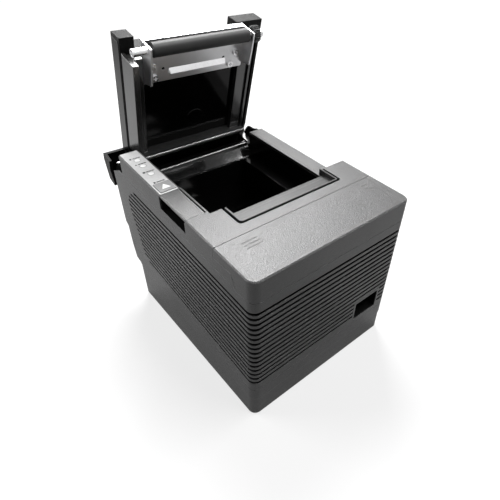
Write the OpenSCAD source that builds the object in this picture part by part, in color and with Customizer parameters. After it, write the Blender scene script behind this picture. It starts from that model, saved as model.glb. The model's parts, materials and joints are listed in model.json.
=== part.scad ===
// Receipt printer with a clamshell cover, drawn with the cover open.
// The body frame has its origin at the front bottom edge: X to the right, Y to the rear, Z up to the deck.
// The base is a wedge, so the whole body leans forward when it stands on its feet.

/* [Body] */
// Width of the body
body_w = 145; // [143:0.5:150]
// Height of the deck above the front bottom edge
deck_z = 142.8; // [141:0.2:146]
// Depth of the case at its rear
case_depth = 208.5; // [207:0.5:210]
// Forward lean of the body, the wedge angle of the base
lean = 6.2; // [4:0.1:7]
// Radius of the two upright front corners
corner_r = 6.5; // [5:0.5:9]
// Thickness of the moulded walls
wall = 2.5; // [2:0.1:3]
// Drop from the deck to the seam between the deck moulding and the grooved case
deck_seam_drop = 18.2; // [17.8:0.1:19.8]
// Height of the seam between the lower and the grooved case, at the front
base_seam_z = 31.7; // [28:0.1:34]
// Rise of the base seam for each millimetre towards the rear
seam_slope = 0.034; // [0.02:0.001:0.04]
// Depth of the lower case below its step
base_depth = 187.5; // [184:0.5:190]
// Gap that shows between neighbouring mouldings
seam_gap = 0.3; // [0.2:0.05:0.5]

/* [Grooves] */
// Number of grooves round the case
groove_count = 16; // [8:1:16]
// Drop from the deck to the top groove
groove_drop = 27.8; // [26.8:0.1:30.8]
// Height of the bottom groove
groove_low_z = 41.5; // [40:0.1:46]
// Width of a groove
groove_w = 2.7; // [1.5:0.1:3]
// Depth of a groove
groove_deep = 1.7; // [0.6:0.1:1.8]

/* [Front cover] */
// Depth of the sliding front cover on the deck
front_cover_y = 40.3; // [38:0.1:42]
// Travel of the front cover towards the front
front_cover_travel = 15; // [10:1:15]

/* [Side strip] */
// Width of the strip with the lever, the button and the lamps
strip_w = 15.2; // [15:0.1:15.4]
// Front end of the strip
strip_y0 = 75.1; // [74.8:0.1:75.4]
// Rear end of the lever
lever_y1 = 110.9; // [108:0.1:111.5]
// Rear end of the strip
strip_y1 = 182.3; // [181:0.1:182.5]
// Side of the square feed button
button_side = 12.4; // [10:0.1:12.6]
// Diameter of a lamp window
lamp_d = 4.6; // [3:0.1:5.4]

/* [Cover] */
// Drop from the deck to the hinge axis
hinge_drop = 34.3; // [33.8:0.1:34.8]
// Distance of the hinge axis from the front
hinge_y = 193; // [192.5:0.1:193.5]
// Angle between the shut and the open cover
open_angle = 75.2; // [60:0.1:75.4]
// Left side of the cover
cover_x0 = -54.4; // [-54.6:0.1:-54.2]
// Depth of the cover's shell
shell_deep = 13.5; // [12:0.1:14]
// Front edge of the cover between its ears
skin_y0 = 83; // [82:0.1:84]
// Front end of the two ears
ear_y0 = 74; // [73.8:0.1:75]
// Hinge pin diameter
hinge_pin_d = 5; // [4:0.1:6]

/* [Paper] */
// Inside radius of the roll bucket
bucket_r = 43; // [42:0.1:43.5]
// Inside width of the roll bucket
bucket_w = 88; // [84:0.5:88]

/* [Platen] */
// Length of the rubber roller
roller_len = 82; // [80:0.5:82]
// Diameter of the rubber roller
roller_d = 10.6; // [9:0.1:10.6]
// Centre of the roller across the body
roller_x = 1.9; // [1.5:0.1:2.3]
// Distance of the platen axis from the front
platen_y = 73.6; // [73.4:0.1:73.8]
// Drop from the deck to the platen axis, with the cover shut
platen_drop = 32.6; // [32.4:0.1:32.8]
// Diameter of the platen shaft
platen_shaft_d = 4; // [3:0.1:4.5]
// Diameter of the bearing sleeves
sleeve_d = 6; // [5.4:0.1:6]

/* [Gears] */
// Module of the feed gears
feed_module = 0.6; // [0.6:0.01:0.6]
// Teeth of the platen gear
platen_teeth = 20; // [20:4:20]
// Teeth of the idler
idler_teeth = 24; // [24:4:24]
// Teeth of the small wheel and of the motor pinion
small_teeth = 12; // [12:4:12]
// Teeth of the large wheel
large_teeth = 36; // [36:12:36]

/* [Switch] */
// Left side of the switch window
window_x0 = 31; // [29:0.5:32]
// Width of the switch window
window_w = 26.5; // [25:0.5:27]
// Underside of the switch window
window_z0 = 36.3; // [36:0.1:38]
// Height of the switch window
window_h = 18.7; // [17:0.1:19]

/* [Hidden] */
$fn = 48;
eps = 0.01;
fit = 0.05;
case_color = "#4a4a4a";
black = "#151515";
steel = "#b8b8bc";

// Overall places in the body frame
half_w = body_w / 2;
deck_seam_z = deck_z - deck_seam_drop;
groove_top_z = deck_z - groove_drop;
groove_pitch = (groove_top_z - groove_low_z) / (groove_count - 1);
hinge_z = deck_z - hinge_drop;
platen_z = deck_z - platen_drop;
foot_drop = 1;
foot_x = [-46, 46];
foot_y = [16, base_depth - 19.5];
screw_x = [-half_w + 9.5, half_w - 9.5];
screw_y = [22, base_depth - 15.5];
rear_r = 5;
seam_cut = 0.5;
shelf_z = deck_z - 15.3;
shelf_y0 = 70.2;
side_end = case_depth - 17.5;
case_rear_z = deck_z - 26.8;
step_z = 60;
step_y = case_depth - 9.5;
skin = wall;

// Seam of the front cover inside the body, as [y, z]
front_seam = [[16.5, deck_z - 20.2], [21.4, deck_z - 7.6], [front_cover_y + 1.9, deck_z - 9.5]];
slide_slope = (front_seam[1][1] - front_seam[2][1]) / (front_seam[2][0] - front_seam[1][0]);

// The strip on the left
strip_x1 = -half_w + strip_w;
lever_slot = 0.9;
rib_x0 = strip_x1 + lever_slot;
rib_x1 = rib_x0 + 1.2;
tray_z = deck_z - 37.8;
recess_z0 = deck_z - 12.6;
recess_z1 = deck_z - 1.8;
button_y0 = 113.1;
button_x0 = strip_x1 - 0.7 - button_side;
button_travel = 0.8;
lamp_y = [141.4, 155.3, 165.9];
lamp_x = strip_x1 - 6.8;
label_t = 0.3;
board_z = deck_z - 13.4;
board_t = 1.6;
board_x0 = -half_w + 2.5;

// The opening above the roll and the right shelf
shelf_x0 = half_w - 15;
shelf_wall = 1.5;
notch_y = 72;

// The exit guide in the deck
guide_x0 = -43.5;
guide_x1 = 48.2;
guide_y0 = 52.3;
guide_y1 = 72;
guide_gap = 2.5;
guide_right_gap = 1.4;
guide_t = 1.2;
guide_left_r = 2.5;
guide_right_r = 1.4;
ledge_z = deck_z - 4.3;
ledge_step_y = 64.4;
ledge_y1 = 68;

// The cover, given as it lies when shut
cover_x1 = half_w - 0.5;
ear_x1 = -43.3;
ear_x2 = 46;
ear_slant = 1.1;
shell_z0 = deck_z - shell_deep;
tail_y0 = strip_y1 + 1;
tail_y1 = case_depth - 1.2;
shoulder_y = 189.5;
shoulder_z = deck_z - 8.3;
tail_skirt_z = deck_z - 12.3;
tail_rear_z = deck_z - 18.5;
arm_x0 = half_w - 12.3;
arm_x1 = half_w - 6.7;
arm_w = 10;
washer_t = 0.8;

// The liner inside the cover
liner_z = deck_z - 18.8;
rail_z = deck_z - 24.8;
liner_y0 = 84;
liner_y1 = 172;
liner_x0 = cover_x0 + 0.4;
liner_x1 = 56;
left_skirt_z = deck_z - 32.8;
right_skirt_z = deck_z - 26.8;
left_rail = [-48.6, -42.7];
right_rail = [43.5, 53.5];

// The platen and its bracket
roller_x0 = roller_x - roller_len / 2;
roller_x1 = roller_x + roller_len / 2;
cheek_x0 = -42.5;
cheek_x1 = 46.5;
sheet = 1.2;
bracket_z = rail_z;
bracket_y0 = 70.4;
bracket_y1 = 105.5;
flange_z = bracket_z + 5;
slot_w = 8.3;
screw_xy = [[-35.8, 91], [-33.7, 101.5], [39.3, 91.7], [34.5, 101.7]];
sleeve_x0 = -54;
shaft_x0 = -53;
shaft_x1 = 57.2;
platen_gear_x0 = 48.5;
platen_gear_x1 = 53;

// The mechanism below the deck
plate_left = -52.2;
plate_right = 53.8;
plate_inner = 46.8;
frame_y0 = 44;
frame_y1 = 83;
frame_z0 = deck_z - 58.8;
frame_z1 = deck_z - 23.3;
floor_z = deck_z - 52.8;
frame_screw_x = half_w - 10.5;
latch_y = 57;
latch_z = deck_z - 46.8;
latch_d = 5;
hook_x = [-49.5, 55.4];
hook_w = [3, 1.5];
crank_x = -half_w + 5.2;
crank_reach = 22;
link_x = -half_w + 3.9;
link_y = latch_y + crank_reach;
lug_z = deck_z - 5.8;
lever_axis_x = strip_x1 - 1.3;
lever_axis_z = deck_z - 2.6;
head_y = 68;
head_pivot_y = 64.5;
head_pivot_z = deck_z - 45.8;
head_top_z = head_pivot_z + 20;

// Gear rules
pressure = 25;
addendum = 0.8;
dedendum = 1.05;
backlash = 0.1;
idler_angle = -80;
reduction_angle = -125;
pinion_angle = -90;
idler_dist = (platen_teeth + idler_teeth) * feed_module / 2;
reduction_dist = (idler_teeth + small_teeth) * feed_module / 2;
pinion_dist = (large_teeth + small_teeth) * feed_module / 2;
idler_y = platen_y + idler_dist * cos(idler_angle);
idler_z = platen_z + idler_dist * sin(idler_angle);
reduction_y = idler_y + reduction_dist * cos(reduction_angle);
reduction_z = idler_z + reduction_dist * sin(reduction_angle);
motor_y = reduction_y + pinion_dist * cos(pinion_angle);
motor_z = reduction_z + pinion_dist * sin(pinion_angle);
platen_phase = 0;
idler_phase = mesh_phase(platen_phase, platen_teeth, idler_teeth, idler_angle);
small_phase = mesh_phase(idler_phase, idler_teeth, small_teeth, reduction_angle);
pinion_phase = mesh_phase(small_phase, large_teeth, small_teeth, pinion_angle);
gear_x0 = 48.6;
gear_x1 = 50.6;
wheel_x0 = 51;
wheel_x1 = 52.8;

// The cutter
cutter_module = 0.5;
rack_pinion_teeth = 14;
cutter_wheel_teeth = 30;
cutter_motor_teeth = 18;
motor_angle = 193;
cutter_floor_z = frame_z1;
blade_z = frame_z1 + 3.7;
blade_t = 0.8;
rack_line_z = frame_z1 + 6.7;
cutter_y = 50;
cutter_z = rack_line_z + rack_pinion_teeth * cutter_module / 2;
cutter_dist = (cutter_wheel_teeth + cutter_motor_teeth) * cutter_module / 2;
cutter_motor_y = cutter_y + cutter_dist * cos(motor_angle);
cutter_motor_z = cutter_z + cutter_dist * sin(motor_angle);
cutter_wheel_phase = 0;
cutter_motor_phase = mesh_phase(cutter_wheel_phase, cutter_wheel_teeth, cutter_motor_teeth,
    motor_angle);
rack_x = [-30, 8];
cutter_plate_x = 47;
cutter_wheel_x = 48.6;
carrier_y0 = 45;
motor_boss_d = 5;
rack_w = 4;

// The board and its sockets at the rear
board_x = half_w - 14.5;
pcb_z = 2;
pcb_t = 1.6;
pcb_y0 = 34;
pcb_y1 = base_depth - 4;
socket_y0 = base_depth - 19.5;
socket_floor_y = base_depth - 13.5;
contact_y0 = base_depth - 14.5;
inlet_x = -half_w + 27.5;
usb_x = -14;
serial_x = 16;
drawer_x = half_w - 25.5;

// The origin is under the middle of the printer, on the surface that it stands on
tail_outline = [[tail_y0, deck_z], [shoulder_y, deck_z], [tail_y1, shoulder_z], [tail_y1, tail_rear_z]];
front_top_y = -(deck_z - 0.9) * sin(lean);
origin_y = (front_top_y + max([for (p = tail_outline) leaned(opened(p[0], p[1]))[0]])) / 2;

// A point of the shut cover, as [y, z], moved to where the open cover has it
function opened(y, z) = [
    hinge_y + (y - hinge_y) * cos(open_angle) + (z - hinge_z) * sin(open_angle),
    hinge_z - (y - hinge_y) * sin(open_angle) + (z - hinge_z) * cos(open_angle)];
// A point of the body frame, as [y, z], after the lean
function leaned(p) = [p[0] * cos(lean) - p[1] * sin(lean), p[0] * sin(lean) + p[1] * cos(lean)];
// Range across the body between two distances in from its side, on the left (s = -1) or on the right
function side(s, a, b) = [min(s * (half_w - a), s * (half_w - b)), max(s * (half_w - a), s * (half_w - b))];
// Height of the sloping underside, and of the seam above it
function under_z(y) = -y * tan(lean);
function seam_z(y) = base_seam_z + seam_slope * y;
// Underside of the rails that the front cover slides on
function slide_z(y) = deck_z - 13.2 - slide_slope * (y - 30);
// Rear end of the groove at one height, on a side
function groove_end(z) =
    182 - 0.055 * pow(max(0, z - deck_z + 44.8), 2) - 0.27 * max(0, deck_z - 50.8 - z)
        - 0.2 * pow(max(0, 47 - z), 2);
// Phase of a gear that meshes with another one lying at this angle from it
function mesh_phase(phase, teeth, other_teeth, angle) =
    angle + 180 + 180 / other_teeth - (phase - angle) * teeth / other_teeth;
// Turn of an involute between its base circle and a radius
function involute(base, r) = let (t = sqrt(max(0, r * r / (base * base) - 1))) t * 180 / PI - atan(t);
function polar(r, a) = [r * cos(a), r * sin(a)];
// Outline of a spur gear with a tooth at the phase angle
function gear_points(teeth, size, phase) =
    let (pitch_r = teeth * size / 2,
        base = pitch_r * cos(pressure),
        tip = pitch_r + addendum * size,
        root = pitch_r - dedendum * size,
        start = max(base, root),
        half = 90 / teeth - backlash / 2 / pitch_r * 180 / PI + involute(base, pitch_r),
        side = [for (i = [0:3]) let (r = start + (tip - start) * i / 3) [r, half - involute(base, r)]])
    [for (k = [0:teeth - 1]) let (a = phase + 360 * k / teeth)
        each concat([polar(root, a - side[0][1])],
            [for (s = side) polar(s[0], a - s[1])],
            [for (i = [3:-1:0]) polar(side[i][0], a + side[i][1])],
            [polar(root, a + side[0][1])])];
// Points round a coil's wire, ring after ring
function coil_points(r, wire, length, turns, sides, steps) =
    [for (i = [0:steps]) let (a = 360 * turns * i / steps, z = wire / 2 + (length - wire) * i / steps,
        tilt = atan((length - wire) / turns / (2 * PI * r)))
        for (j = [0:sides - 1]) let (b = 360 * j / sides, u = wire / 2 * cos(b), v = wire / 2 * sin(b))
            [(r + u) * cos(a) + v * sin(tilt) * sin(a), (r + u) * sin(a) - v * sin(tilt) * cos(a),
                z + v * cos(tilt)]];
function coil_faces(sides, steps) = concat(
    [[for (j = [0:sides - 1]) j]],
    [for (i = [0:steps - 1]) for (j = [0:sides - 1]) let (k = (j + 1) % sides, a = i * sides, b = a + sides)
        each [[a + j, b + j, b + k], [a + j, b + k, a + k]]],
    [[for (j = [sides - 1:-1:0]) steps * sides + j]]);

// Least distance between the points of one turn of a coil and the next one's
function coil_gap(points, sides, per_turn) = min([for (i = [0:len(points) / sides - per_turn - 2])
    for (j = [0:sides - 1], n = [-1:1], k = [0:sides - 1])
        norm(points[i * sides + j] - points[(i + per_turn + n) * sides + k])]);

// Frames
module level() {
    translate([0, -origin_y, foot_drop]) children();
}
module body() {
    level() rotate([lean, 0, 0]) children();
}
module on_cover() {
    body() translate([0, hinge_y, hinge_z]) rotate([-open_angle, 0, 0]) translate([0, -hinge_y,
        -hinge_z]) children();
}

// Basic shapes
module box(x, y, z) {
    translate([x[0], y[0], z[0]]) cube([x[1] - x[0], y[1] - y[0], z[1] - z[0]]);
}
module prism(x, points) {
    translate([x[0], 0, 0]) rotate([90, 0, 90]) linear_extrude(x[1] - x[0]) polygon(points);
}
module rod(d, x, y, z) {
    translate([x[0], y, z]) rotate([0, 90, 0]) cylinder(d = d, h = x[1] - x[0]);
}
module post(d, x, y, z) {
    translate([x, y, z[0]]) cylinder(d = d, h = z[1] - z[0]);
}
module rod_y(d, x, y, z) {
    translate([x, y[0], z]) rotate([-90, 0, 0]) cylinder(d = d, h = y[1] - y[0]);
}
module gear(x, y, z, teeth, size, phase, bore) {
    difference() {
        translate([0, y, z]) prism(x, gear_points(teeth, size, phase));
        rod(bore, [x[0] - 1, x[1] + 1], y, z);
    }
}
module coil(r, wire, length, turns) {
    per_turn = 8;
    sides = 6;
    steps = turns * per_turn;
    points = coil_points(r, wire, length, turns, sides, steps);
    echo(str("least gap of a coil of ", turns, " turns: ", coil_gap(points, sides, per_turn), " mm"));
    polyhedron(points, coil_faces(sides, steps));
}
// Plan of the body, drawn in by an inset
module plan(inset) {
    front = corner_r - inset;
    back = rear_r - inset;
    x = half_w - inset;
    y1 = case_depth - inset;
    translate([-x + front, inset]) square([2 * (x - front), y1 - inset - back]);
    translate([-x, inset + front]) square([2 * x, y1 - inset - front - back]);
    translate([-x + back, inset + front]) square([2 * (x - back), y1 - inset - front]);
    for (s = [-1, 1]) {
        translate([s * (x - front), inset + front]) circle(front);
        translate([s * (x - back), y1 - back]) circle(back);
    }
}
module plan_block(inset, z) {
    translate([0, 0, z[0]]) linear_extrude(z[1] - z[0]) plan(inset);
}
// The body's plan with its upper edge taken off in two steps
module deck_block(z0) {
    plan_block(0, [z0, deck_z - 0.9]);
    plan_block(0.25, [deck_z - 0.9, deck_z - 0.45]);
    plan_block(0.7, [deck_z - 0.45, deck_z]);
}

// Lower case, a wedge with a step at its rear
module lower_outline(x, inset) {
    prism(x, [[-1, under_z(-1) + inset], [-1, seam_z(-1) + inset * 2],
        [step_y - inset, seam_z(step_y) + inset * 2],
        [step_y - 3 - inset, 23 + inset * 0.4], [base_depth - inset, 21.4],
            [base_depth - inset, under_z(base_depth) + inset]]);
}
module lower_case() {
    color(case_color) body() difference() {
        union() {
            difference() {
                intersection() {
                    union() {
                        plan_block(0, [19.8, 50]);
                        plan_block(0.4, [-40, 19.8]);
                    }
                    lower_outline([-half_w, half_w], 0);
                }
                intersection() {
                    plan_block(wall, [-40, 60]);
                    lower_outline([-half_w, half_w], wall);
                }
            }
            intersection() {
                for (x = [-board_x + 4, board_x - 4], y = [pcb_y0 + 5, pcb_y1 - 8]) post(7, x, y,
                    [-30, pcb_z]);
                lower_outline([-half_w, half_w], wall - eps);
            }
            intersection() {
                for (x = screw_x, y = screw_y) post(9, x, y, [-30, seam_z(y) + 0.3]);
                lower_outline([-half_w, half_w], wall - eps);
            }
        }
        for (x = screw_x, y = screw_y) {
            post(3.4, x, y, [-40, 60]);
            post(6.4, x, y, [-40, under_z(y) + 3]);
        }
        for (x = [-board_x + 4, board_x - 4], y = [pcb_y0 + 5, pcb_y1 - 8]) post(2.4, x, y,
            [pcb_z - 6, pcb_z + 1]);
        box([inlet_x - 8.3, inlet_x + 8.3], [base_depth - 5, base_depth + 2],
            [pcb_z + pcb_t - 0.3, pcb_z + 17.8]);
        box([usb_x - 6.3, usb_x + 6.3], [base_depth - 5, base_depth + 2],
            [pcb_z + pcb_t - 0.3, pcb_z + 13.3]);
        box([serial_x - 15.8, serial_x + 15.8], [base_depth - 5, base_depth + 2],
            [pcb_z + pcb_t - 0.3, pcb_z + 14.8]);
        box([drawer_x - 7.3, drawer_x + 7.3], [base_depth - 5, base_depth + 2],
            [pcb_z + pcb_t - 0.3, pcb_z + 14.8]);
        rotate([-lean, 0, 0]) for (x = foot_x, y = foot_y) post(12.4, x, y, [-3, 1]);
    }
}
module rubber_feet() {
    color(black) level() for (x = foot_x, y = foot_y) post(12, x, y, [-foot_drop, 1]);
}
module base_screws() {
    color(steel) body() for (x = screw_x, y = screw_y) {
        post(3, x, y, [under_z(y) + 3, seam_z(y) + 6]);
        difference() {
            post(6, x, y, [under_z(y) + 1, under_z(y) + 3]);
            for (a = [0, 90]) translate([x, y, under_z(y) + 1.4]) rotate(a) cube([3.6, 0.8, 1.2],
                center = true);
        }
    }
}

// Grooved case
module case_outline(x, inset) {
    prism(x, [[-1, seam_z(-1) - inset], [-1, deck_seam_z + inset], [side_end, deck_seam_z + inset],
        [case_depth - inset, case_rear_z], [case_depth - inset, step_z + 6.5 + inset / 2],
        [step_y + 1 - inset, step_z + inset / 2], [step_y - inset, seam_z(step_y) - inset]]);
}
module groove(z) {
    end = groove_end(z);
    intersection() {
        difference() {
            plan_block(-1, [z - groove_w / 2, z + groove_w / 2]);
            plan_block(groove_deep, [z - groove_w, z + groove_w]);
        }
        union() {
            box([-half_w - 2, half_w + 2], [-2, end - groove_w / 2], [z - groove_w, z + groove_w]);
            rod(groove_w, [-half_w - 2, half_w + 2], end - groove_w / 2, z);
        }
        union() {
            box([-half_w - 2, window_x0 - 2.1], [-2, case_depth], [z - groove_w, z + groove_w]);
            box([-half_w - 2, half_w + 2], [-2, case_depth], [window_z0 + window_h + 1.9, deck_z]);
            box([window_x0 + window_w + 1.7, half_w + 2], [-2, case_depth], [0, deck_z]);
            box([-half_w - 2, half_w + 2], [corner_r, case_depth], [0, deck_z]);
        }
    }
}
module main_case() {
    pocket_y = 12;
    color(case_color) body() difference() {
        union() {
            difference() {
                intersection() {
                    plan_block(0, [20, deck_seam_z]);
                    case_outline([-half_w, half_w], 0);
                }
                intersection() {
                    plan_block(wall, [10, deck_z]);
                    case_outline([-half_w, half_w], wall);
                }
            }
            intersection() {
                plan_block(wall - eps, [20, deck_z]);
                union() {
                    for (s = [-1, 1]) {
                        for (y = screw_y) box(side(s, 14.5, 1.5), [y - 5, y + 5],
                            [seam_z(y) + 0.3, seam_z(y) + 8]);
                        box(side(s, 5.5, 1.5), [hinge_y - 6, hinge_y + 6], [hinge_z - 12.5, hinge_z + 6]);
                        box(side(s, 12.5, 1.5), [50, 80], [frame_z0 - 3, frame_z0]);
                    }
                    box([window_x0 - 1.5, window_x0 + window_w + 1.5], [1, pocket_y + 1.5],
                        [window_z0 - 1.5, window_z0 + window_h + 1.5]);
                    rear_fence(-1, 1.7);
                    rear_fence(1, -1.2);
                }
            }
        }
        for (i = [0:groove_count - 1]) groove(groove_top_z - groove_pitch * i);
        box([window_x0, window_x0 + window_w], [-1, pocket_y], [window_z0, window_z0 + window_h]);
        box([window_x0 + 2, window_x0 + window_w - 2], [0, pocket_y + 3],
            [window_z0 + 1.6, window_z0 + window_h - 1.6]);
        for (s = [-1, 1]) {
            rod(hinge_pin_d, side(s, 6.5, 2.5), hinge_y, hinge_z);
            box(side(s, 13.3, 5.9), [case_depth - 10.5, case_depth + 3.5], [hinge_z - 3.5, deck_z]);
        }
        for (x = screw_x, y = screw_y) post(2.6, x, y, [20, seam_z(y) + 6.5]);
        for (s = [-1, 1]) post(2.6, s * frame_screw_x, 65, [frame_z0 - 4, frame_z0 + 1]);
        seam_line();
    }
}
// Fence that rises beside a hinge arm, under the tail of the cover
module rear_fence(s, rise) {
    top = shelf_z + rise;
    prism(side(s, 4.9, 2.4), [[tail_y0, deck_seam_z - 4], [tail_y0, top], [case_depth - 14.5, top - 2],
        [case_depth - 7.5, shelf_z - 3.2], [case_depth - 3, shelf_z - 8.7],
        [case_depth - 3, shelf_z - 15.5]]);
}
// Small step that shows as a line along the base seam
module seam_line() {
    difference() {
        prism([-half_w - 1, half_w + 1],
            [[-2, seam_z(-2) - 1], [-2, seam_z(-2) + seam_cut],
                [step_y + 2, seam_z(step_y + 2) + seam_cut], [step_y + 2, seam_z(step_y + 2) - 1]]);
        plan_block(0.6, [0, 80]);
    }
}

// Deck moulding: front deck, left strip, right shelf
module front_cover_region(grow) {
    prism([-half_w - 1, half_w + 1], [[-20, front_seam[0][1]], [front_seam[0][0] + grow, front_seam[0][1]],
        [front_seam[1][0] + grow, front_seam[1][1] - grow],
            [front_seam[2][0] + grow, front_seam[2][1] - grow],
        [front_cover_y + grow, deck_z + 1], [-20, deck_z + 1]]);
}
module deck_opening() {
    z = [100, deck_z + 1];
    r = 3;
    x0 = guide_x0 - guide_gap;
    x1 = guide_x1 + guide_right_gap;
    y0 = guide_y0 - guide_gap;
    box([x0 + r, x1 - r], [y0, 90], z);
    box([x0, x1], [y0 + r, 90], z);
    for (x = [x0 + r, x1 - r]) post(2 * r, x, y0 + r, z);
    box([rib_x1, x0 + 1], [notch_y, 90], z);
    box([x1 - 1, half_w + 1], [shelf_y0, 90], [shelf_z, deck_z + 1]);
    box([x1 - 1, shelf_x0], [shelf_y0, 90], z);
}
module top_deck() {
    color(case_color) body() difference() {
        union() {
            difference() {
                deck_block(deck_seam_z);
                plan_block(wall, [deck_seam_z - 1, deck_z - wall]);
                front_cover_region(0);
                box([-half_w - 1, half_w + 1], [strip_y1, case_depth + 12], [deck_seam_z - 1, deck_z + 1]);
                box([strip_x1, half_w + 1], [notch_y + 6, case_depth + 12], [deck_seam_z - 1, deck_z + 1]);
                deck_opening();
                box([-half_w - 1, rib_x0], [strip_y0 - 0.2, lever_y1 + 0.3], [recess_z1 - 1, deck_z + 1]);
                box([-half_w + wall, rib_x0], [strip_y0 - 0.2, lever_y1 + 0.3], [recess_z0, deck_z + 1]);
                box([-half_w - 1, -half_w + 8], [strip_y0 + 1.4, lever_y1 + 2.1], [recess_z0, recess_z1]);
            }
            box([-half_w + 1, strip_x1], [strip_y1 - 2, strip_y1], [deck_seam_z, deck_z - 1]);
            box([rib_x0, rib_x1], [notch_y - 2, strip_y1], [tray_z, deck_z - 1.5]);
            box([rib_x0, rib_x1], [notch_y - 2, lever_y1 + 1], [tray_z, deck_z]);
            box([-half_w + 1, rib_x1], [strip_y0 - 2.6, strip_y0 - 0.2], [recess_z0 - 2, deck_z - 1]);
            box([crank_x, crank_x + 7.6], [latch_y + 9, strip_y0 - 1], [recess_z0 - 2, recess_z0]);
            box([-half_w + 1, rib_x0 + 0.1], [lever_y1 + 0.3, lever_y1 + 1.8], [deck_seam_z, deck_z - 1]);
            difference() {
                box([-half_w + 1, rib_x0 + 0.1], [strip_y0 - 1, lever_y1 + 1], [recess_z0 - 2, recess_z0]);
                box([link_x - 0.6, crank_x + 3.2], [link_y - 3.2, link_y + 3.2],
                    [recess_z0 - 3, recess_z0 + 1]);
            }
            intersection() {
                plan_block(0.2, [tray_z, deck_z]);
                union() {
                    box([shelf_x0, half_w], [shelf_y0 - wall, strip_y1 + 0.7], [shelf_z - wall, shelf_z]);
                    box([guide_x1 + guide_right_gap, half_w - 0.2], [shelf_y0 - wall, shelf_y0],
                        [shelf_z - wall, deck_z - 1]);
                    box(side(-1, 4.3, 2.3), [button_y0 - 0.5, strip_y1 - 1], [board_z - 2, board_z]);
                    box([strip_x1 - 2, strip_x1], [button_y0 - 0.5, strip_y1 - 1], [board_z - 2, board_z]);
                    box([strip_x1 - 2, rib_x0 + 0.1], [button_y0 - 0.5, strip_y1 - 1],
                        [board_z - 4, board_z - 1.9]);
                    for (s = [-1, 1]) {
                        slide_rail(side(s, 8.1, 1.5), [46, 52], [0, 1.8]);
                        slide_rail(side(s, 8.1, 5.9), [12, 52], [0, 1.8]);
                    }
                }
            }
        }
        box([button_x0 - 0.2, button_x0 + button_side + 0.2],
            [button_y0 - 0.2, button_y0 + button_side + 0.2], [board_z + 5, deck_z + 1]);
        for (y = lamp_y) post(lamp_d, lamp_x, y, [board_z + 5, deck_z + 1]);
        rod_y(2, lever_axis_x, [strip_y0 - 2.2, lever_y1 + 1.4], lever_axis_z);
        seam_shadow();
    }
}
// Bar along the slope that the front cover slides on
module slide_rail(x, y, z) {
    prism(x, [[y[0], slide_z(y[0]) + z[0]], [y[1], slide_z(y[1]) + z[0]], [y[1], slide_z(y[1]) + z[1]],
        [y[0], slide_z(y[0]) + z[1]]]);
}
// Small step along the seam under the deck moulding
module seam_shadow() {
    difference() {
        box([-half_w - 1, half_w + 1], [-2, case_depth + 12], [deck_seam_z - 1, deck_seam_z + 0.35]);
        plan_block(0.5, [deck_seam_z - 2, deck_seam_z + 1]);
    }
}
module front_cover() {
    color(case_color) body() {
        difference() {
            intersection() {
                deck_block(deck_seam_z);
                front_cover_region(-seam_gap);
            }
            intersection() {
                plan_block(wall, [deck_seam_z - 1, deck_z - wall]);
                box([-half_w, half_w], [-1, front_cover_y - seam_gap - wall + 3],
                    [deck_seam_z - 1, deck_z - wall]);
            }
            seam_shadow();
            for (s = [-1, 1], i = [0:2]) translate([s * (s < 0 ? 50.4 : 57), 27 + 3 * i, deck_z])
                cube([s < 0 ? 12 : 6, 0.7, 0.3], center = true);
        }
        for (s = [-1, 1]) {
            prism(side(s, 5.5, 3.9),
                [[14, slide_z(14) - 1.6], [34, slide_z(34) - 1.6],
                [34, deck_z - wall + eps], [14, deck_z - wall + eps]]);
            slide_rail(side(s, 7.5, 3.9), [14, 34], [-1.6, -0.3]);
        }
    }
}
module panel_label() {
    color("#5c5c5c") body() difference() {
        box([-half_w + 0.9, strip_x1 - 0.1], [lever_y1 + 0.6, strip_y1 - 0.3], [deck_z, deck_z + label_t]);
        box([button_x0 - 0.3, button_x0 + button_side + 0.3],
            [button_y0 - 0.3, button_y0 + button_side + 0.3], [deck_z - 1, deck_z + 1]);
        for (y = lamp_y) post(lamp_d, lamp_x, y, [deck_z - 1, deck_z + 1]);
    }
}
module lamp_windows() {
    color("#d8d8d8") body() for (y = lamp_y) post(lamp_d, lamp_x, y,
        [board_z + board_t + 1.2, deck_z + label_t + 0.1]);
}
module feed_button() {
    color("#666666") body() {
        box([button_x0, button_x0 + button_side], [button_y0, button_y0 + button_side],
            [deck_z - 6.3, deck_z + button_travel + 0.1]);
        post(2.6, button_x0 + button_side / 2, button_y0 + button_side / 2, [deck_z - 9.8, deck_z - 6.2]);
    }
}
module button_spring() {
    color(steel) body() translate([button_x0 + button_side / 2, button_y0 + button_side / 2,
        board_z + board_t])
        coil(2.6, 0.6, deck_z - 6.4 - board_z - board_t, 4);
}
module strip_board() {
    color("#2c4a34") body() {
        box([board_x0, strip_x1 - 0.3], [button_y0 - 0.3, strip_y1 - 2.2], [board_z, board_z + board_t]);
        for (y = lamp_y) post(3, lamp_x, y, [board_z + board_t, board_z + board_t + 1]);
    }
}

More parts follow.
